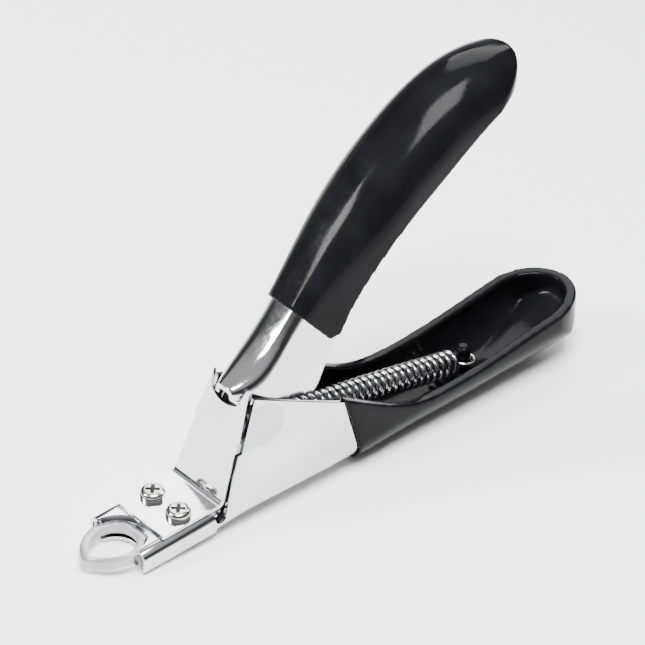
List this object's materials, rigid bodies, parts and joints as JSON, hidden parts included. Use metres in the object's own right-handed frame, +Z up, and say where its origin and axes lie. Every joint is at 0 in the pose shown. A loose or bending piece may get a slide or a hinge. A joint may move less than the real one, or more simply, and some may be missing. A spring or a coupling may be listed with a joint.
{
  "type": "pet nail trimmer",
  "caption": "guillotine pet nail trimmer with a fixed pointed cutting ring, a sliding blade plate, a sprung squeeze lever and black vinyl-dipped trough handles",
  "frame": {"origin": "centre of the flat underside of the nose, under the blade plate", "axes": "+X from the nose to the handles, +Y to the left side seen from behind the nose, +Z up through the lever; handles open"},
  "size_m": [0.1434, 0.0212, 0.0884],
  "materials": {
    "plated_sheet": "bright nickel plate on pressed sheet steel",
    "plated_pin": "bright plated round steel",
    "plated_screw": "bright plated pan-head machine screw",
    "satin_steel": "satin hardened steel",
    "ground_steel": "ground hardened steel with a polished cutting bevel",
    "spring_wire": "plated spring wire",
    "black_vinyl": "glossy dipped vinyl, slightly soft"
  },
  "bodies": {
    "frame": {"lower_frame": "plated_sheet", "cutting_ring": "satin_steel", "left_ring_rivet": "plated_pin", "right_ring_rivet": "plated_pin", "pivot_pin": "plated_pin", "left_pivot_plate": "plated_sheet", "right_pivot_plate": "plated_sheet", "spring_anchor": "plated_pin", "anchor_sleeve": "black_vinyl", "lower_grip": "black_vinyl", "return_spring": "spring_wire"},
    "lever": {"upper_lever": "plated_sheet", "upper_grip": "black_vinyl", "lever_bracket": "plated_sheet", "pivot_sleeve": "plated_pin", "spring_pin": "plated_pin"},
    "carriage": {"carriage": "plated_sheet", "blade": "ground_steel", "left_blade_screw": "plated_screw", "right_blade_screw": "plated_screw", "slide_shoe": "plated_sheet", "drive_pin": "plated_pin"}
  },
  "joints": [
    {"name": "lever_squeeze", "type": "hinge", "parent": "frame", "child": "lever", "pos_m": [0.026, 0, 0.02135], "axis": [0, 1, 0], "range_deg": [0, 44], "stiffness_Nm_per_rad": 0.15, "springref_deg": -45.84, "deforming": ["return_spring"]},
    {"name": "blade_slide", "type": "slide", "parent": "frame", "child": "carriage", "axis": [-1, 0, 0], "range_m": [0, 0.0126]}
  ],
  "couplings": [
    {"joint": "blade_slide", "follows": "lever_squeeze", "m_per_rad": 0.01631}
  ]
}
